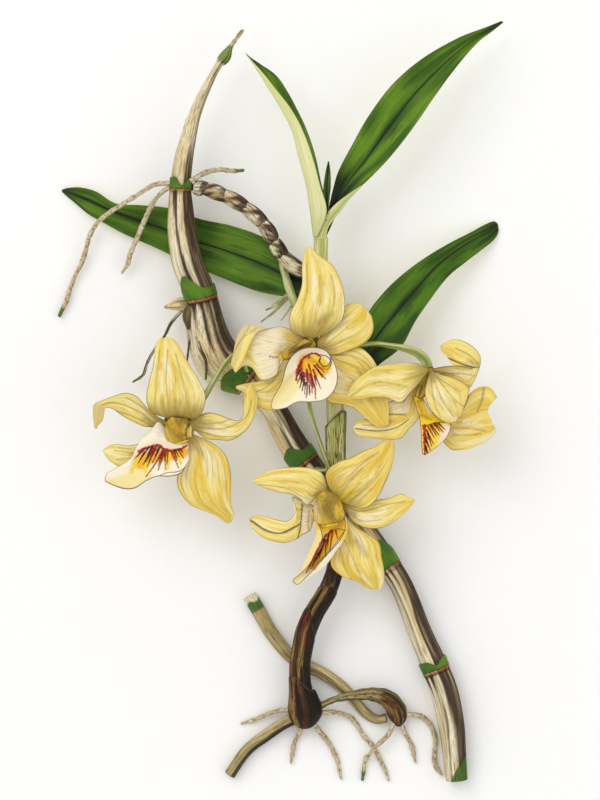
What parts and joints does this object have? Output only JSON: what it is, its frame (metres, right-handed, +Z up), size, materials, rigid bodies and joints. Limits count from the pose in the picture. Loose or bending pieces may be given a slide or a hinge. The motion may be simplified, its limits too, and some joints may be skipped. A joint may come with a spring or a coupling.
{
  "type": "dendrobium orchid",
  "caption": "Bare-rooted dendrobium orchid lying flat: striped flowering cane with pale yellow lipped blooms, an offshoot, a leafy shoot with strap leaves, rhizome and roots.",
  "frame": {"origin": "On the surface that the plant lies on, under the middle of its bounding box", "axes": "+Z up from the surface, +Y along the plant from its roots to its leaf tips, +X to the right as seen from above"},
  "size_m": [0.1922, 0.3278, 0.0427],
  "materials": {
    "cane_papery": "matte",
    "offshoot_scale": "matte",
    "stem_sheath": "satin",
    "old_cane": "satin",
    "leaf_green": "satin",
    "stalk_green": "satin",
    "petal_yellow": "satin",
    "lip_cream": "satin",
    "column_gold": "satin"
  },
  "bodies": {
    "root": {"flowering_cane": "cane_papery", "offshoot": "offshoot_scale", "offshoot_stalk": "stalk_green", "leafy_stem": "stem_sheath", "rhizome": "stem_sheath", "cut_cane": "old_cane", "cut_stem": "old_cane", "leaf_upper_left": "leaf_green", "leaf_upper_right": "leaf_green", "leaf_lower_left": "leaf_green", "leaf_lower_right": "leaf_green", "leaf_young": "leaf_green", "bloom_1_dorsal_sepal": "petal_yellow", "bloom_1_left_petal": "petal_yellow", "bloom_1_right_petal": "petal_yellow", "bloom_1_left_sepal": "petal_yellow", "bloom_1_right_sepal": "petal_yellow", "bloom_1_lip": "lip_cream", "bloom_1_column": "column_gold", "bloom_1_pedicel": "stalk_green", "bloom_2_dorsal_sepal": "petal_yellow", "bloom_2_left_petal": "petal_yellow", "bloom_2_right_petal": "petal_yellow", "bloom_2_left_sepal": "petal_yellow", "bloom_2_right_sepal": "petal_yellow", "bloom_2_lip": "lip_cream", "bloom_2_column": "column_gold", "bloom_2_pedicel": "stalk_green", "bloom_3_dorsal_sepal": "petal_yellow", "bloom_3_left_petal": "petal_yellow", "bloom_3_right_petal": "petal_yellow", "bloom_3_left_sepal": "petal_yellow", "bloom_3_right_sepal": "petal_yellow", "bloom_3_lip": "lip_cream", "bloom_3_column": "column_gold", "bloom_3_pedicel": "stalk_green", "bloom_4_dorsal_sepal": "petal_yellow", "bloom_4_left_petal": "petal_yellow", "bloom_4_right_petal": "petal_yellow", "bloom_4_left_sepal": "petal_yellow", "bloom_4_right_sepal": "petal_yellow", "bloom_4_lip": "lip_cream", "bloom_4_column": "column_gold", "bloom_4_pedicel": "stalk_green"}
  },
  "joints": []
}
